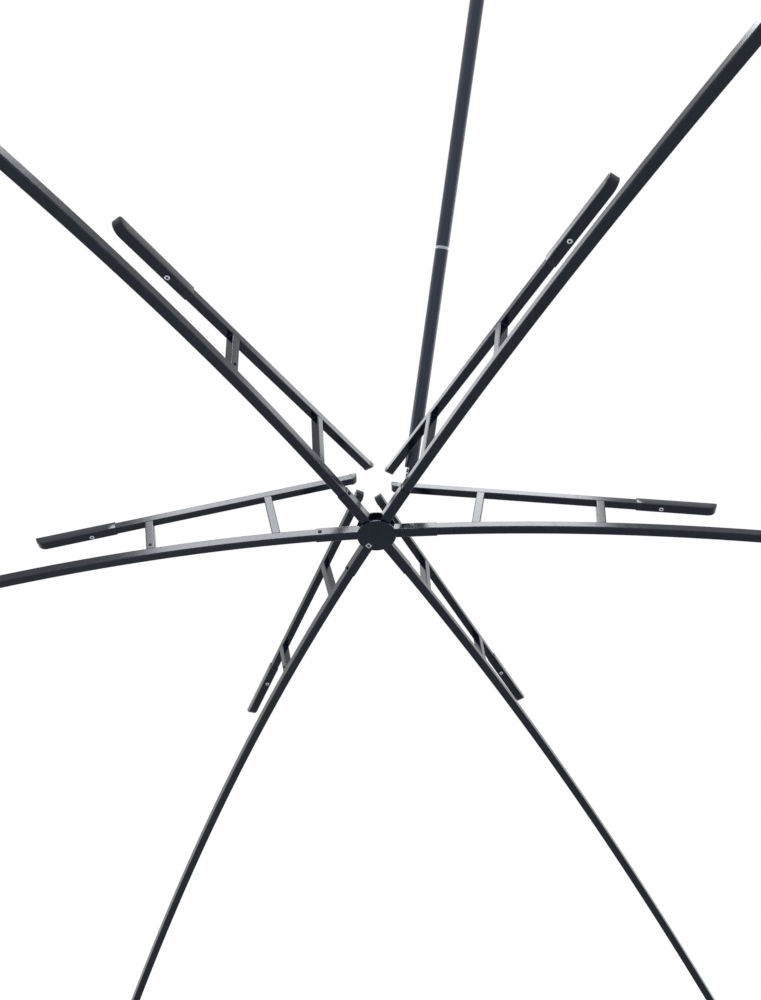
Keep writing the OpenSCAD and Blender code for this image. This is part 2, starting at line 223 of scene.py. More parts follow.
def buildScuffs():
    inputs = [("Amount", "NodeSocketFloat", 0.3)]
    tree, given, result = newTree("scuffs", "ShaderNodeTree", inputs, [("Mask", "NodeSocketFloat")])
    spot = addNode(tree, "ShaderNodeTexCoord").outputs["Object"]
    spots = noise(tree, spot, scuffs["scale"], detail=8.0, roughness=0.7)
    shaped = stretched(tree, spots, scuffs["low"], scuffs["high"])
    tree.links.new(calc(tree, "MULTIPLY", shaped, given["Amount"]), result["Mask"])
    return tree


streaks = {"scale": (70.0, 70.0, 4.0), "low": 0.52, "high": 0.72}


# Marks that dried rain leaves, drawn out along the height
def buildStreaks():
    inputs = [("Amount", "NodeSocketFloat", 0.2)]
    tree, given, result = newTree("streaks", "ShaderNodeTree", inputs, [("Mask", "NodeSocketFloat")])
    spot = addNode(tree, "ShaderNodeTexCoord").outputs["Object"]
    drawn = addNode(tree, "ShaderNodeMapping", {"Vector": spot, "Scale": streaks["scale"]})
    lines = noise(tree, drawn.outputs[0], 1.0, detail=6.0)
    shaped = stretched(tree, lines, streaks["low"], streaks["high"])
    tree.links.new(calc(tree, "MULTIPLY", shaped, given["Amount"]), result["Mask"])
    return tree


effects = {
    "grain": buildCoatGrain(),
    "wearAndHighlight": buildEdgeWearAndHighlight(),
    "scuff": buildScuffs(),
    "streak": buildStreaks(),
}


def effect(tree, name, socket, value):
    group = addNode(tree, "ShaderNodeGroup", node_tree=effects[name])
    group.inputs[socket].default_value = value
    return group.outputs


def coating(name, look):
    material = bpy.data.materials.new(name)
    material.use_nodes = True
    tree = material.node_tree
    shader = tree.nodes["Principled BSDF"]
    grain = effect(tree, "grain", "Peel Scale", look["peel"])
    scuff = effect(tree, "scuff", "Amount", look["scuff"])["Mask"]
    streak = effect(tree, "streak", "Amount", look["streak"])["Mask"]
    wearAndHighlight = effect(tree, "wearAndHighlight", "Amount", look["wearAndHighlight"])["Mask"]
    tone = blend(tree, grain["Cloud"], look["deep"], look["lit"])
    dusty = blend(tree, streak, blend(tree, scuff, tone, look["dust"]), look["dust"])
    # Rounded edges lighten by the edge mask: wear, and in part a painted highlight along them
    tree.links.new(blend(tree, wearAndHighlight, dusty, look["bare"]), shader.inputs["Base Color"])
    dull = calc(tree, "ADD", calc(tree, "MULTIPLY", grain["Cloud"], look["roughSpread"]), look["rough"])
    marks = calc(tree, "MULTIPLY", calc(tree, "ADD", scuff, streak), look["markDull"])
    tree.links.new(calc(tree, "ADD", dull, marks), shader.inputs["Roughness"])
    shader.inputs["Metallic"].default_value = look["metal"]
    shader.inputs["IOR"].default_value = look["ior"]
    bump = addNode(tree, "ShaderNodeBump", {"Height": grain["Height"], "Strength": look["bump"]})
    bump.inputs["Distance"].default_value = look["depth"]
    tree.links.new(bump.outputs[0], shader.inputs["Normal"])
    return material


# What a look leaves out, it takes from plain
plain = {
    "peel": 260.0,
    "wearAndHighlight": 0.5,
    "scuff": 0.12,
    "streak": 0.1,
    "rough": 0.12,
    "roughSpread": 0.08,
    "markDull": 0.4,         # what scuffs and streaks add to the roughness
    "metal": 0.0,
    "ior": 1.5,
    "bump": 0.18,
    "depth": 0.00002,
    "dust": (0.05, 0.055, 0.065, 1),
    # The edge colour: worn coat, and in part a painted highlight
    "bare": (0.13, 0.15, 0.19, 1),
}
looks = {
    "frame_paint": {
        "deep": (0.0004, 0.002, 0.008, 1),
        "lit": (0.003, 0.008, 0.022, 1),
        "ior": 1.45,
        "bump": 0.06,
    },
    "boom_paint": {
        "deep": (0.022, 0.032, 0.052, 1),
        "lit": (0.034, 0.046, 0.07, 1),
        "rough": 0.26,
    },
    "bright_zinc": {
        "deep": (0.7, 0.72, 0.76, 1),
        "lit": (0.85, 0.86, 0.87, 1),
        "bare": (0.9, 0.9, 0.92, 1),
        "dust": (0.5, 0.5, 0.5, 1),
        "metal": 1.0,
        "peel": 900.0,
    },
    "black_screw": {
        "deep": (0.012, 0.013, 0.016, 1),
        "lit": (0.03, 0.032, 0.036, 1),
        "metal": 0.6,
        "rough": 0.3,
    },
    "grey_steel": {
        "deep": (0.02, 0.023, 0.03, 1),
        "lit": (0.034, 0.038, 0.046, 1),
        "rough": 0.34,
    },
    "black_plastic": {
        "deep": (0.004, 0.005, 0.008, 1),
        "lit": (0.008, 0.01, 0.014, 1),
        "rough": 0.26,
        "peel": 1400.0,
        "bump": 0.15,
    },
    "pale_collar": {
        "deep": (0.5, 0.53, 0.57, 1),
        "lit": (0.62, 0.64, 0.68, 1),
        "bare": (0.8, 0.8, 0.82, 1),
        "dust": (0.4, 0.4, 0.42, 1),
        "metal": 0.4,
        "rough": 0.34,
    },
}
finishes = {name: coating(name, {**plain, **look}) for name, look in looks.items()}
slotOf = {row["node"]: row["material_slot"] for row in frame["record"]["subparts"]}
for nodeName, nodeObject in frame["nodes"].items():
    nodeObject.data.materials.clear()
    nodeObject.data.materials.append(finishes[slotOf[nodeName]])
print("materials made:", len(finishes))


# Sweeps a square with round corners along the path. Each corner has its bends and one point on
# the flat to each side, which keeps the flats flat when they are shaded.
def buildSquareTube():
    bends = 6
    points = bends + 3
    inputs = [("Side", "NodeSocketFloat", 0.025), ("Corner Radius", "NodeSocketFloat", 0.0025)]
    inputs.append(("Edge Inset", "NodeSocketFloat", 0.0008))
    tree, given, result = shapeTree("squareTubeOnPath", inputs)
    index = addNode(tree, "GeometryNodeInputIndex").outputs[0]
    corner = calc(tree, "FLOOR", calc(tree, "DIVIDE", calc(tree, "ADD", index, 0.5), points))
    step = calc(tree, "SUBTRACT", index, calc(tree, "MULTIPLY", corner, points))
    first = calc(tree, "LESS_THAN", step, 0.5)
    last = calc(tree, "GREATER_THAN", step, points - 1.5)
    bend = calc(tree, "MAXIMUM", calc(tree, "SUBTRACT", step, 1.0), 0.0)
    bend = calc(tree, "MINIMUM", bend, bends)
    quarter = calc(tree, "MULTIPLY", corner, math.pi / 2)
    angle = calc(tree, "ADD", quarter, calc(tree, "MULTIPLY", bend, math.pi / (2 * bends)))
    diagonal = calc(tree, "ADD", quarter, math.pi / 4)
    shift = calc(tree, "MULTIPLY", calc(tree, "SUBTRACT", last, first), given["Edge Inset"])
    half = calc(tree, "SUBTRACT", calc(tree, "MULTIPLY", given["Side"], 0.5), given["Corner Radius"])
    out = calc(tree, "MULTIPLY", half, math.sqrt(2))
    sine, cosine = calc(tree, "SINE", angle), calc(tree, "COSINE", angle)
    x = calc(tree, "MULTIPLY", out, calc(tree, "COSINE", diagonal))
    x = calc(tree, "ADD", x, calc(tree, "MULTIPLY", given["Corner Radius"], cosine))
    x = calc(tree, "SUBTRACT", x, calc(tree, "MULTIPLY", shift, sine))
    y = calc(tree, "MULTIPLY", out, calc(tree, "SINE", diagonal))
    y = calc(tree, "ADD", y, calc(tree, "MULTIPLY", given["Corner Radius"], sine))
    y = calc(tree, "ADD", y, calc(tree, "MULTIPLY", shift, cosine))
    point = addNode(tree, "ShaderNodeCombineXYZ", {0: x, 1: y})
    ring = addNode(tree, "GeometryNodeCurvePrimitiveCircle", {"Resolution": 4 * points})
    wiring = {"Geometry": ring.outputs[0], "Position": point.outputs[0]}
    placed = addNode(tree, "GeometryNodeSetPosition", wiring)
    # Corner points carry "edge", where the coating wears and paints a highlight
    onEdge = calc(tree, "SUBTRACT", 1.0, calc(tree, "ADD", first, last))
    wiring = {"Geometry": placed.outputs[0], "Name": "edge"}
    marked = addNode(tree, "GeometryNodeStoreNamedAttribute", wiring, data_type="FLOAT")
    tree.links.new(onEdge, marked.inputs["Value"])
    path = addNode(tree, "GeometryNodeMeshToCurve", {0: given["Geometry"]})
    upright = addNode(tree, "GeometryNodeSetCurveNormal", {0: path.outputs[0]})
    upright.mode = "Z_UP"
    wiring = {"Curve": upright.outputs[0], "Profile Curve": marked.outputs[0]}
    swept = addNode(tree, "GeometryNodeCurveToMesh", wiring)
    return closeTree(tree, given, result, swept.outputs[0])


def buildRoundTheHub():
    tree, given, result = shapeTree("roundTheHub", [("Copies", "NodeSocketInt", 6)])
    points = addNode(tree, "GeometryNodePoints", {"Count": given["Copies"]})
    index = addNode(tree, "GeometryNodeInputIndex").outputs[0]
    step = calc(tree, "DIVIDE", 2 * math.pi, given["Copies"])
    spin = addNode(tree, "ShaderNodeCombineXYZ", {2: calc(tree, "MULTIPLY", index, step)})
    whole = addNode(tree, "GeometryNodeGeometryToInstance", {0: given["Geometry"]})
    wiring = {"Points": points.outputs[0], "Instance": whole.outputs[0], "Rotation": spin.outputs[0]}
    copies = addNode(tree, "GeometryNodeInstanceOnPoints", wiring)
    return closeTree(tree, given, result, copies.outputs[0])


def buildWeldBeads():
    inputs = [("Pitch", "NodeSocketFloat", 0.0016), ("Bead", "NodeSocketFloat", 0.0017)]
    inputs.append(("Seed", "NodeSocketInt", 3))
    tree, given, result = shapeTree("weldBeads", inputs)
    path = addNode(tree, "GeometryNodeMeshToCurve", {0: given["Geometry"]})
    wiring = {"Curve": path.outputs[0], "Length": given["Pitch"]}
    spread = addNode(tree, "GeometryNodeCurveToPoints", wiring, mode="LENGTH")
    ball = {"Segments": 8, "Rings": 5, "Radius": given["Bead"]}
    drop = addNode(tree, "GeometryNodeMeshUVSphere", ball)
    smallest, largest = 0.85, 1.1       # shares of a bead's size
    limits = {2: smallest, 3: largest, "Seed": given["Seed"]}
    size = addNode(tree, "FunctionNodeRandomValue", limits)
    wiring = {"Points": spread.outputs["Points"], "Instance": drop.outputs[0]}
    wiring["Rotation"] = spread.outputs["Rotation"]
    beads = addNode(tree, "GeometryNodeInstanceOnPoints", wiring)
    tree.links.new(size.outputs[1], beads.inputs["Scale"])
    smooth = addNode(tree, "GeometryNodeSetShadeSmooth", {0: beads.outputs[0]})
    return closeTree(tree, given, result, smooth.outputs[0])


def buildRidges():
    inputs = [("Count", "NodeSocketInt", 30), ("Radius", "NodeSocketFloat", 0.0057)]
    inputs += [("Ridge Size", "NodeSocketVector", None), ("Middle Height", "NodeSocketFloat", 0.0)]
    tree, given, result = shapeTree("ridgesRoundHead", inputs)
    wiring = {"Vertices": given["Count"], "Radius": given["Radius"]}
    ring = addNode(tree, "GeometryNodeMeshCircle", wiring)
    lift = addNode(tree, "ShaderNodeCombineXYZ", {2: given["Middle Height"]})
    wiring = {"Geometry": ring.outputs[0], "Offset": lift.outputs[0]}
    raised = addNode(tree, "GeometryNodeSetPosition", wiring)
    index = addNode(tree, "GeometryNodeInputIndex").outputs[0]
    step = calc(tree, "DIVIDE", 2 * math.pi, given["Count"])
    spin = addNode(tree, "ShaderNodeCombineXYZ", {2: calc(tree, "MULTIPLY", index, step)})
    ridge = addNode(tree, "GeometryNodeMeshCube", {"Size": given["Ridge Size"]})
    wiring = {"Points": raised.outputs[0], "Instance": ridge.outputs[0], "Rotation": spin.outputs[0]}
    ridges = addNode(tree, "GeometryNodeInstanceOnPoints", wiring)
    joined = addNode(tree, "GeometryNodeJoinGeometry")
    tree.links.new(ridges.outputs[0], joined.inputs[0])
    tree.links.new(given["Geometry"], joined.inputs[0])
    return closeTree(tree, given, result, joined.outputs[0])


trees = {"tube": buildSquareTube(), "copies": buildRoundTheHub(), "weld": buildWeldBeads()}
trees["ridges"] = buildRidges()
print("geometry trees made:", len(trees))


meshing = {
    "merge": 1e-6,
    "roundSteps": 48,        # round a turned piece
    "crease": 32,            # degrees, as are the next two
    "dressedCrease": 35,
    "flatWithin": 0.6,
}


def newObject(name, points, edges=(), faces=()):
    mesh = bpy.data.meshes.new(name)
    mesh.from_pydata([tuple(p) for p in points], list(edges), list(faces))
    mesh.update()
    made = bpy.data.objects.new(name, mesh)
    bpy.context.scene.collection.objects.link(made)
    return made


def settle(piece):
    bpy.context.view_layer.update()
    graph = bpy.context.evaluated_depsgraph_get()
    mesh = bpy.data.meshes.new_from_object(piece.evaluated_get(graph))
    piece.modifiers.clear()
    piece.data = mesh
    return piece


# One finish all over, without the empty slot that a tree leaves in front of its own
def paint(piece, finish):
    piece.data.materials.clear()
    piece.data.materials.append(finishes[finish])
    for face in piece.data.polygons:
        face.material_index = 0
    return piece


def grow(piece, tree, finish, **values):
    modifier = piece.modifiers.new("shape", "NODES")
    modifier.node_group = tree
    wanted = {**values, "Material": finishes[finish]}
    for item in tree.interface.items_tree:
        if item.item_type == "SOCKET" and item.in_out == "INPUT" and item.name in wanted:
            modifier[item.identifier] = wanted[item.name]
    return paint(settle(piece), finish)


def faceOut(piece):
    shape = bmesh.new()
    shape.from_mesh(piece.data)
    bmesh.ops.remove_doubles(shape, verts=shape.verts, dist=meshing["merge"])
    bmesh.ops.recalc_face_normals(shape, faces=shape.faces)
    shape.to_mesh(piece.data)
    shape.free()
    return piece


def smoothOver(piece, degrees=meshing["crease"]):
    for face in piece.data.polygons:
        face.use_smooth = True
    piece.data.set_sharp_from_angle(angle=math.radians(degrees))
    return piece


def thicken(piece, wall):
    modifier = piece.modifiers.new("wall", "SOLIDIFY")
    modifier.thickness = wall
    modifier.offset = -1
    modifier.use_even_offset = True
    return settle(piece)


def bevelled(piece, width, segments=2):
    modifier = piece.modifiers.new("bevel", "BEVEL")
    modifier.width = width
    modifier.segments = segments
    modifier.limit_method = "ANGLE"
    modifier.angle_limit = math.radians(meshing["crease"])
    return settle(piece)


# Marks the points of each rounded outer edge, which the coating wears and lightens with a painted
# highlight
def markEdges(piece, low=12, high=75):
    shape = bmesh.new()
    shape.from_mesh(piece.data)
    layer = shape.verts.layers.float.get("edge") or shape.verts.layers.float.new("edge")
    for edge in shape.edges:
        bend = math.degrees(edge.calc_face_angle(0))
        if low < bend < high and edge.is_convex:
            for vertex in edge.verts:
                vertex[layer] = 1.0
    shape.to_mesh(piece.data)
    shape.free()
    return piece


def place(piece, matrix):
    piece.data.transform(matrix)
    piece.data.update()
    return piece


def pathAlong(name, points, closed=False):
    edges = [(k, k + 1) for k in range(len(points) - 1)]
    if closed:
        edges.append((len(points) - 1, 0))
    return newObject(name, points, edges)


def squareTube(name, points, side, wall):
    values = {"Side": side, "Corner Radius": rafter["corner"]}
    piece = grow(pathAlong(name, points), trees["tube"], "frame_paint", **values)
    return thicken(faceOut(piece), wall)


def turned(name, profile, steps=meshing["roundSteps"]):
    points, faces = [], []
    for radius, height in profile:
        for k in range(steps):
            angle = 2 * math.pi * k / steps
            points.append((radius * math.cos(angle), radius * math.sin(angle), height))
    for row in range(len(profile) - 1):
        for k in range(steps):
            low, high, after = row * steps, (row + 1) * steps, (k + 1) % steps
            faces.append((low + k, low + after, high + after, high + k))
    return faceOut(newObject(name, points, faces=faces))


def joinAll(name, pieces):
    shape = bmesh.new()
    for piece in pieces:
        shape.from_mesh(piece.data)
    mesh = bpy.data.meshes.new(name)
    shape.to_mesh(mesh)
    shape.free()
    for material in pieces[0].data.materials:
        mesh.materials.append(material)
    for piece in pieces:
        bpy.data.objects.remove(piece)
    made = bpy.data.objects.new(name, mesh)
    bpy.context.scene.collection.objects.link(made)
    return made


def handOver(piece, body, finish, *nodeNames):
    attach(piece, body)
    if nodeNames:
        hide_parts(*nodeNames)
    return piece


# A CAD node's own shape with its outer edges rounded
def dressed(nodeName, width, body="frame", segments=2):
    mesh = frame["nodes"][nodeName].data.copy()
    piece = bpy.data.objects.new(nodeName + "_dressed", mesh)
    bpy.context.scene.collection.objects.link(piece)
    shape = bmesh.new()
    shape.from_mesh(mesh)
    bmesh.ops.remove_doubles(shape, verts=shape.verts, dist=meshing["merge"])
    limit = math.radians(meshing["flatWithin"])
    bmesh.ops.dissolve_limit(shape, angle_limit=limit, verts=shape.verts, edges=shape.edges)
    shape.to_mesh(mesh)
    shape.free()
    markEdges(bevelled(piece, width, segments))
    smoothOver(piece, meshing["dressedCrease"])
    return handOver(paint(piece, slotOf[nodeName]), body, slotOf[nodeName], nodeName)


def archPath(start, end):
    count = max(2, round((end - start) / rafter["step"]))
    return [archPlace(start + (end - start) * k / count).translation for k in range(count + 1)]


rafterStart = coreFlats / 2 + hub["rafterGap"]
socketStart = coreFlats / 2 + hub["seat"]
for i in arms:
    path = archPath(rafterStart, rafter["reach"])
    tube = squareTube(f"rafterTube_{i}", path, rafter["side"], rafter["wall"])
    handOver(smoothOver(place(tube, armPlace(i))), "frame", "frame_paint", f"rafter_{i}")
    path = archPath(socketStart, hub["armReach"])
    socket = squareTube(f"hubSocket_{i}", path, armSide, hub["armWall"])
    handOver(smoothOver(place(socket, armPlace(i))), "frame", "frame_paint", f"hub_arm_{i}")
print("rafters and hub arms made")


def straightPath(length):
    return [(0, 0, 0), (length / 2, 0, 0), (length, 0, 0)]


strutFoot = {"spare": 0.004, "zone": 0.001}


# Swept along X, then stood up, with its foot following the rafter's curved back
def makeStrut(name, along):
    longest = strutLength(along) + strutFoot["spare"]
    piece = squareTube(name, straightPath(longest), upper["side"], rafter["wall"])
    for vertex in piece.data.vertices:
        across, side, down = vertex.co.z, vertex.co.y, vertex.co.x
        if down > longest - strutFoot["zone"]:
            down = strutLength(along + across) - hub["seat"]
        vertex.co = (across, side, -down)
    piece.data.update()
    return piece


for i in arms:
    length = upper["end"] - upper["start"]
    tube = squareTube(f"chordTube_{i}", straightPath(length), upper["side"], rafter["wall"])
    chordAt = armPlace(i) @ chordPlace(upper["start"]) @ move(z=upper["side"] / 2)
    handOver(smoothOver(place(tube, chordAt)), "frame", "frame_paint", f"chord_{i}")
    for label, along in (("inner_strut", upper["innerStrut"]), ("outer_strut", upper["outerStrut"])):
        strut = place(makeStrut(f"{label}_tube_{i}", along), armPlace(i) @ chordPlace(along))
        handOver(smoothOver(strut), "frame", "frame_paint", f"{label}_{i}")
dressed("chord_plugs", width=0.0012, segments=3)
dressed("rafter_lugs", width=0.0008, segments=3)
print("chords and struts made")


def hexRecess(radius, key, height, deep):
    steps, points, faces = meshing["roundSteps"], [], []
    for k in range(steps):
        angle = 2 * math.pi * k / steps
        edge = key / math.cos((angle % (math.pi / 3)) - math.pi / 6)
        for reach, level in ((radius, height), (edge, height), (edge, height + deep)):
            points.append((reach * math.cos(angle), reach * math.sin(angle), level))
    for k in range(steps):
        a, b = 3 * k, 3 * ((k + 1) % steps)
        faces.append((a, b, b + 1, a + 1))
        faces.append((a + 1, b + 1, b + 2, a + 2))
    faces.append(tuple(3 * k + 2 for k in range(steps)))
    return points, faces


rafterBolt = {
    "head": 0.0054,
    "tall": 0.003,
    "shank": 0.003,
    "key": 0.0021,
    "length": armSide - hub["armWall"] / 2,
    "inset": 0.012,          # from the hub arm's end
}
strutScrew = {
    "head": 0.004,
    "tall": 0.0024,
    "shank": 0.0021,
    "key": 0.0015,
    "length": upper["side"] - rafter["wall"] / 2,
    "up": 0.014,             # from the strut's foot
}
button = {
    "flat": 0.62,            # share of the head's radius
    "rim": 0.3,              # share of its height, as is keyDeep
    "keyDeep": 0.55,
    "bends": 6,
}


def buttonScrew(name, size):
    head, tall, shank = size["head"], size["tall"], size["shank"]
    flat, rim, bends = button["flat"] * head, button["rim"] * tall, button["bends"]
    profile = [(0.0, -size["length"]), (shank, -size["length"]), (shank, 0.0)]
    profile += [(head, 0.0), (head, rim)]
    for k in range(1, bends + 1):
        angle = math.pi / 2 * k / bends
        profile.append((flat + (head - flat) * math.cos(angle), rim + (tall - rim) * math.sin(angle)))
    points, faces = hexRecess(flat, size["key"], tall, -button["keyDeep"] * tall)
    recess = newObject(name + "_recess", points, faces=faces)
    return faceOut(joinAll(name, [turned(name + "_rim", profile), recess]))


# One screw on arm 1, pointing across it, and its five copies
def screwRing(name, size, spot, nodeName):
    screw = place(buttonScrew(name, size), armPlace(1) @ spot @ turn(-math.pi / 2, "X"))
    ring = grow(screw, trees["copies"], "black_screw", Copies=armCount)
    handOver(smoothOver(ring), "frame", "black_screw", nodeName)


boltSpot = archPlace(hub["armReach"] - rafterBolt["inset"]) @ move(y=armSide / 2)
screwRing("rafterBolts", rafterBolt, boltSpot, "rafter_bolts")
screwUp = strutScrew["up"] - strutLength(upper["outerStrut"])
screwSpot = chordPlace(upper["outerStrut"]) @ move(y=upper["side"] / 2, z=screwUp)
screwRing("strutScrews", strutScrew, screwSpot, "strut_screws")
print("screws made")

sleeve = {
    "length": 0.213,
    "wall": 0.0013,
    "gap": 0.0003,
    "tip": 0.965,
    "drawnOut": [-0.005, -0.015, -0.02, -0.012, 0.042, 0.088],
    "edge": 0.0006,
    "edgeBends": 3,
    "flatFrom": 0.0012,
    "cornerBends": 6,
    "noseBends": 14,
    "stations": 8,
    "lockAt": 0.066,
}
lockScrew = {
    "head": 0.006,
    "tall": 0.004,
    "shank": 0.003,
    "chamfer": 0.0006,
    "key": 0.0025,
    "keyDeep": 0.002,
    "ridges": 32,
    "ridgeDeep": 0.0003,
    "ridgeSize": (0.0006, 0.0005),
    "ridgeInset": 0.0008,
    # The key recess and its corners take the black finish as painted shade
    "paintedShadeReach": 1.16,       # share of the key's half width that takes in its corners
    "paintedShadeFrom": 0.0003,
}
sleeveSide = upper["side"] + 2 * (sleeve["gap"] + sleeve["wall"])


# A point on the flat to each side of a corner keeps the flats flat when they are shaded
def sleeveOutline():
    half, steps = sleeveSide / 2, sleeve["cornerBends"]
    corner = rafter["corner"] + sleeve["wall"] / 2
    beside = corner + sleeve["flatFrom"]
    low = [(half, sleeveSide), (half, beside)]
    for middle, start in ((1, 0), (-1, -90)):
        for k in range(steps + 1):
            angle = math.radians(start - 90 * k / steps)
            y = middle * (half - corner) + corner * math.cos(angle)
            low.append((y, corner + corner * math.sin(angle)))
        if middle == 1:
            low += [(half - beside, 0), (beside - half, 0)]
    low += [(-half, beside), (-half, sleeveSide)]
    return low


# The open channel runs straight, then swings up about the back edge to close the nose
def makeSleeve(name):
    outline = sleeveOutline()
    pivot = sleeve["length"] - sleeveSide
    bends, stations = sleeve["noseBends"], sleeve["stations"]
    rows = [[(pivot * k / stations, y, z) for y, z in outline] for k in range(stations + 1)]
    for k in range(1, bends + 1):
        sine, cosine = math.sin(math.pi / 2 * k / bends), math.cos(math.pi / 2 * k / bends)
        row = []
        for y, z in outline:
            below = sleeveSide - z
            row.append((pivot + below * sine, y, sleeveSide - below * cosine))
        rows.append(row)
    count = len(outline)
    faces = []
    for r in range(len(rows) - 1):
        low, high = r * count, (r + 1) * count
        for k in range(count - 1):
            faces.append((low + k, low + k + 1, high + k + 1, high + k))
    for r in range(stations):
        faces.append((r * count, (r + 1) * count, (r + 2) * count - 1, (r + 1) * count - 1))
    faces.append(tuple(range((len(rows) - 1) * count, len(rows) * count)))
    shell = newObject(name, [p for row in rows for p in row], faces=faces)
    walled = thicken(faceOut(shell), sleeve["wall"])
    return markEdges(bevelled(walled, sleeve["edge"], sleeve["edgeBends"]))


def lockingScrew(name):
    tall, shank, chamfer = lockScrew["tall"], lockScrew["shank"], lockScrew["chamfer"]
    head = lockScrew["head"] - lockScrew["ridgeDeep"]
    face = head - chamfer
    profile = [(0.0, sleeve["wall"]), (shank, sleeve["wall"]), (shank, 0.0), (head, 0.0)]
    profile += [(head, chamfer - tall), (face, -tall)]
    points, faces = hexRecess(face, lockScrew["key"], -tall, lockScrew["keyDeep"])
    recess = newObject(name + "_recess", points, faces=faces)
    piece = faceOut(joinAll(name, [turned(name + "_rim", profile), recess]))
    values = {"Count": lockScrew["ridges"], "Radius": head, "Middle Height": -tall / 2}
    values["Ridge Size"] = (*lockScrew["ridgeSize"], tall - 2 * lockScrew["ridgeInset"])
    grow(piece, trees["ridges"], "bright_zinc", **values)
    # A second slot, the black finish, paints shade into the key recess
    piece.data.materials.append(finishes["black_screw"])
    paintedShadeRadius = lockScrew["key"] * lockScrew["paintedShadeReach"]
    for face in piece.data.polygons:
        x, y, z = face.center
        if math.hypot(x, y) < paintedShadeRadius and z > lockScrew["paintedShadeFrom"] - tall:
            face.material_index = 1      # the key recess takes the black finish as painted shade
    return piece


for i in arms:
    start = sleeve["tip"] + sleeve["drawnOut"][i - 1] - sleeve["length"]
    sleeveAt = armPlace(i) @ chordPlace(start) @ move(z=-sleeve["gap"] - sleeve["wall"])
    shell = paint(place(makeSleeve(f"sleeveShell_{i}"), sleeveAt), "frame_paint")
    handOver(smoothOver(shell), f"sleeve_body_{i}", "frame_paint", f"sleeve_{i}")
    screw = place(lockingScrew(f"lockScrew_{i}"), sleeveAt @ move(sleeve["lockAt"]))
    handOver(smoothOver(screw), f"sleeve_body_{i}", "bright_zinc", f"sleeve_screw_{i}")
print("sleeves made")


plateShape = {"edge": 0.0004, "edgeBends": 6, "steps": 128}


def hubPlate(name, low, nodeName):
    radius, thick, edge = hub["plate"] / 2, hub["thick"], plateShape["edge"]
    half = [(0.0, 0.0)]
    for k in range(plateShape["edgeBends"] + 1):
        angle = math.pi / 2 * k / plateShape["edgeBends"]
        half.append((radius - edge + edge * math.sin(angle), edge - edge * math.cos(angle)))
    profile = [(r, low + z) for r, z in half] + [(r, low + thick - z) for r, z in reversed(half)]
    piece = markEdges(paint(turned(name, profile, plateShape["steps"]), "frame_paint"))
    return handOver(smoothOver(piece), "frame", "frame_paint", nodeName)


hubPlate("hubDiscLow", hubHeight, "hub_bottom_plate")
hubPlate("hubDiscHigh", hubHeight + hub["thick"] + hubRoom, "hub_top_plate")
for nodeName, width in (("hub_core", 0.0008), ("square_washer", 0.0004), ("washer_screw", 0.0003)):
    dressed(nodeName, width)
print("hub made")

boom = {
    "across": 0.038,
    "wall": 0.002,
    "root": (0.11, -0.052, 0.237),
    "turn": math.radians(-78),
    "rise": math.radians(28),
    "inner": 0.614,
    "outer": 0.8,
    "collar": 0.008,
    "edge": 0.0004,
    "steps": 72,
}
bracket = {
    "arm": 6,
    "reach": 0.098,
    "footThick": 0.004,
    "post": 0.008,
    "headAt": (-0.019, 0, -0.018),
    "webThick": 0.005,
}


def boomPlace(along=0.0):
    start = move(z=hubHeight) @ move(*boom["root"])
    return start @ turn(boom["turn"], "Z") @ turn(-boom["rise"], "Y") @ move(along)


def roundTube(name, along, length, nodeName):
    outer, edge = boom["across"] / 2, boom["edge"]
    inner = outer - boom["wall"]
    profile = [(inner, 0), (outer - edge, 0), (outer, edge), (outer, length / 2), (outer, length - edge)]
    profile += [(outer - edge, length), (inner, length), (inner, 0)]
    piece = place(turned(name, profile, boom["steps"]), boomPlace(along) @ turn(math.pi / 2, "Y"))
    return handOver(smoothOver(paint(piece, "boom_paint")), "frame", "boom_paint", nodeName)


roundTube("boomTubeInner", 0.0, boom["inner"], "boom_inner_tube")
roundTube("boomTubeOuter", boom["inner"] + boom["collar"], boom["outer"], "boom_outer_tube")
dressed("boom_collar", width=0.0006)
dressed("boom_end_cap", width=0.0009, segments=3)
dressed("boom_tongue", width=0.0007)
dressed("boom_bracket", width=0.0007)
dressed("bracket_bolts", width=0.0006)
print("boom made")

weld = {"Pitch": 0.0017, "Bead": 0.0016, "Seed": 3}
seam = {"inset": 0.003, "plateFrom": 0.03, "plateInset": 0.002, "postSteps": 32}


def weldAlong(points, closed=False):
    return grow(pathAlong("seam", points, closed), trees["weld"], "frame_paint", **weld)


def crossSeam(spot, x, half, z):
    end = half - seam["inset"]
    return weldAlong([spot @ Vector((x, y, z)) for y in (-end, 0, end)])


# Where the slanting post meets a flat face, given by a place whose Z is square to that face
def postSeam(foot, head, flat):
    axis = (head - foot).normalized()
    first = axis.orthogonal().normalized()
    second = axis.cross(first)
    normal, on = flat.to_3x3() @ Vector((0, 0, 1)), flat.translation
    points = []
    for k in range(seam["postSteps"]):
        angle = 2 * math.pi * k / seam["postSteps"]
        spoke = foot + bracket["post"] * (math.cos(angle) * first + math.sin(angle) * second)
        points.append(spoke + axis * ((on - spoke).dot(normal) / axis.dot(normal)))
    return weldAlong(points, closed=True)


seams = []
for along in (upper["innerStrut"], upper["outerStrut"]):
    half = upper["side"] / 2
    spot = armPlace(1) @ chordPlace(along)
    for side in (-half, half):
        seams.append(crossSeam(spot, side, half, 0.0))
        seams.append(crossSeam(spot, side, half, -strutLength(along + side)))
reaches = (seam["plateFrom"], hub["plate"] / 2 - seam["plateInset"])
for side in (-armSide / 2, armSide / 2):
    for level in (-armSide / 2, armSide / 2):
        seams.append(weldAlong([armPlace(1) @ archPlace(r) @ Vector((0, side, level)) for r in reaches]))
armSeams = grow(joinAll("weldSeams", seams), trees["copies"], "frame_paint", Copies=armCount)
handOver(armSeams, "frame", "frame_paint")

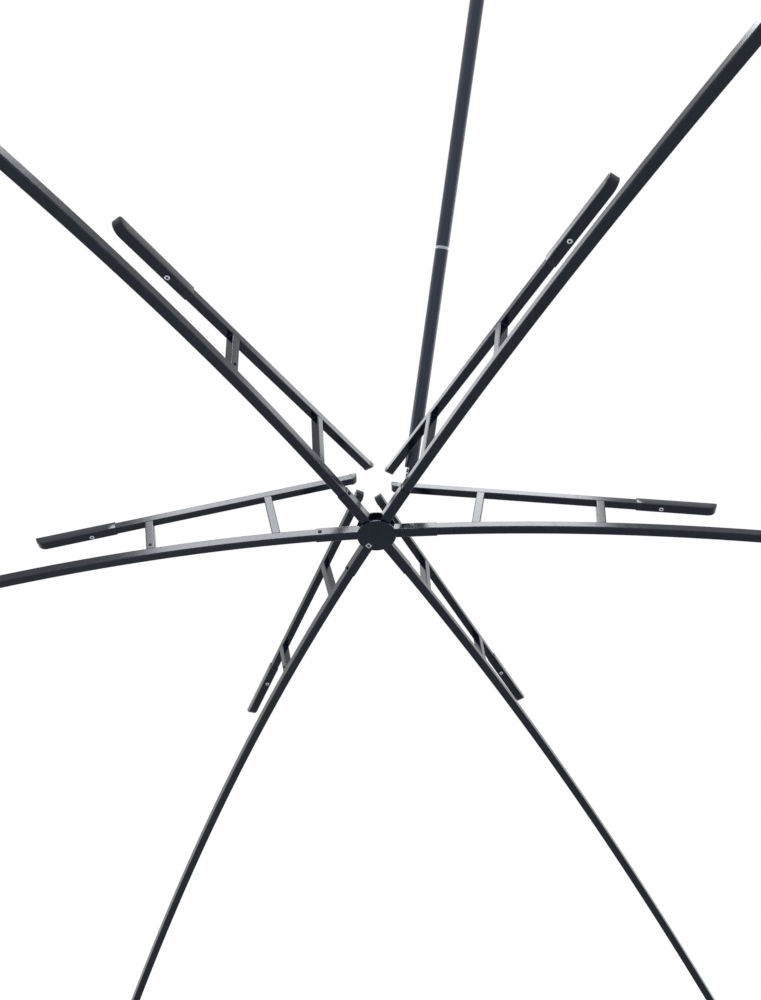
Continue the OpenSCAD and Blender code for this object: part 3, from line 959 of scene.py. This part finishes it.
footPlace = armPlace(bracket["arm"]) @ archPlace(bracket["reach"]) @ move(z=armSide / 2)
headPlace = boomPlace() @ move(*bracket["headAt"])
postFoot = (footPlace @ move(z=bracket["footThick"] / 2)).translation
postHead = (headPlace @ move(z=bracket["webThick"] / 4)).translation
ends = [postSeam(postFoot, postHead, footPlace @ move(z=bracket["footThick"]))]
ends.append(postSeam(postFoot, postHead, headPlace))
handOver(joinAll("postSeams", ends), "frame", "frame_paint")
print("weld seams made")

# The viewer stands below the hub, a little to one side, and looks up
view = {
    "lens": 26.64,
    "sensor": 36.0,
    "shift": -0.001,
    "spot": (0.01182, -1.31005, hubHeight - 1.5169),
    "right": (0.9986, 0.03954, -0.03516),
    "up": (0.05281, -0.78642, 0.61543),
    "ahead": (0.00332, 0.61642, 0.78741),
    "near": 0.01,
    "far": 100,
}
cameraData = bpy.data.cameras.new("mainCamera")
cameraData.lens = view["lens"]
cameraData.sensor_width = view["sensor"]
cameraData.shift_x = view["shift"]
cameraData.clip_start = view["near"]
cameraData.clip_end = view["far"]
camera = bpy.data.objects.new("mainCamera", cameraData)
bpy.context.scene.collection.objects.link(camera)
facing = Matrix((view["right"], view["up"], -Vector(view["ahead"]))).transposed().to_4x4()
camera.matrix_world = Matrix.Translation(view["spot"]) @ facing
bpy.context.scene.camera = camera

stage = {
    "reach": 6,
    "steps": 128,
    "floor": (0.56, 0.57, 0.59, 1),
    "floorRough": 0.9,
    "sky": (0.27, 0.28, 0.29, 1),       # as light; the sky itself shows white
    "panel": (0.91, 0.95, 1),
}
panels = {
    "highKey": {"spot": (0.69, -2.97, 5.87), "size": (3.2, 1.5), "energy": 142},
    "lowKey": {"spot": (-0.8, -4.56, 4.52), "size": (3.2, 1.5), "energy": 162},
    "topPanel": {"spot": (-1.87, 0.83, 6.2), "size": (3.7, 3.7), "energy": 56},
    "sidePanel": {"spot": (3.9, 0.84, 5.2), "size": (2.2, 2.2), "energy": 32},
    "leftStrip": {"spot": (-5.7, 0.5, 2.4), "size": (3.0, 1.2), "energy": 40},
    "rightStrip": {"spot": (5.7, 0.5, 2.4), "size": (3.0, 1.2), "energy": 30},
}


# The floor lets the viewer look up through it and holds the shadows seen from above
def makeStage():
    rim, steps = [], stage["steps"]
    for k in range(steps):
        angle = 2 * math.pi * k / steps
        rim.append((stage["reach"] * math.cos(angle), stage["reach"] * math.sin(angle), 0))
    floor = newObject("floor", rim, faces=[tuple(range(steps))])
    material = bpy.data.materials.new("paleFloor")
    material.use_nodes = True
    tree = material.node_tree
    shader = tree.nodes["Principled BSDF"]
    shader.inputs["Roughness"].default_value = stage["floorRough"]
    shader.inputs["Base Color"].default_value = stage["floor"]
    clear = addNode(tree, "ShaderNodeBsdfTransparent")
    below = addNode(tree, "ShaderNodeNewGeometry").outputs["Backfacing"]
    path = addNode(tree, "ShaderNodeLightPath").outputs
    seeThrough = calc(tree, "MAXIMUM", below, path["Is Shadow Ray"])
    wiring = {0: seeThrough, 1: shader.outputs[0], 2: clear.outputs[0]}
    mixed = addNode(tree, "ShaderNodeMixShader", wiring)
    tree.links.new(mixed.outputs[0], tree.nodes["Material Output"].inputs["Surface"])
    floor.data.materials.append(material)


def makeWorld():
    world = bpy.data.worlds.new("paleSky")
    bpy.context.scene.world = world
    world.use_nodes = True
    tree = world.node_tree
    path = addNode(tree, "ShaderNodeLightPath").outputs
    seen = calc(tree, "MAXIMUM", path["Is Camera Ray"], path["Is Glossy Ray"])
    shown = calc(tree, "MAXIMUM", seen, path["Is Transmission Ray"])
    colour = blend(tree, shown, stage["sky"], (1, 1, 1, 1))
    tree.links.new(colour, tree.nodes["Background"].inputs["Color"])


def makePanel(name, panel):
    data = bpy.data.lights.new(name, "AREA")
    data.shape = "RECTANGLE"
    data.size, data.size_y = panel["size"]
    data.energy = panel["energy"]
    data.color = stage["panel"]
    lamp = bpy.data.objects.new(name, data)
    bpy.context.scene.collection.objects.link(lamp)
    lamp.location = panel["spot"]
    aim = Vector((0, 0, hubHeight)) - Vector(panel["spot"])
    lamp.rotation_euler = aim.to_track_quat("-Z", "Y").to_euler()
    lamp.visible_camera = False


makeStage()
makeWorld()
for panelName, panel in panels.items():
    makePanel(panelName, panel)
bpy.context.scene.view_settings.view_transform = "Standard"
print("camera and light set")
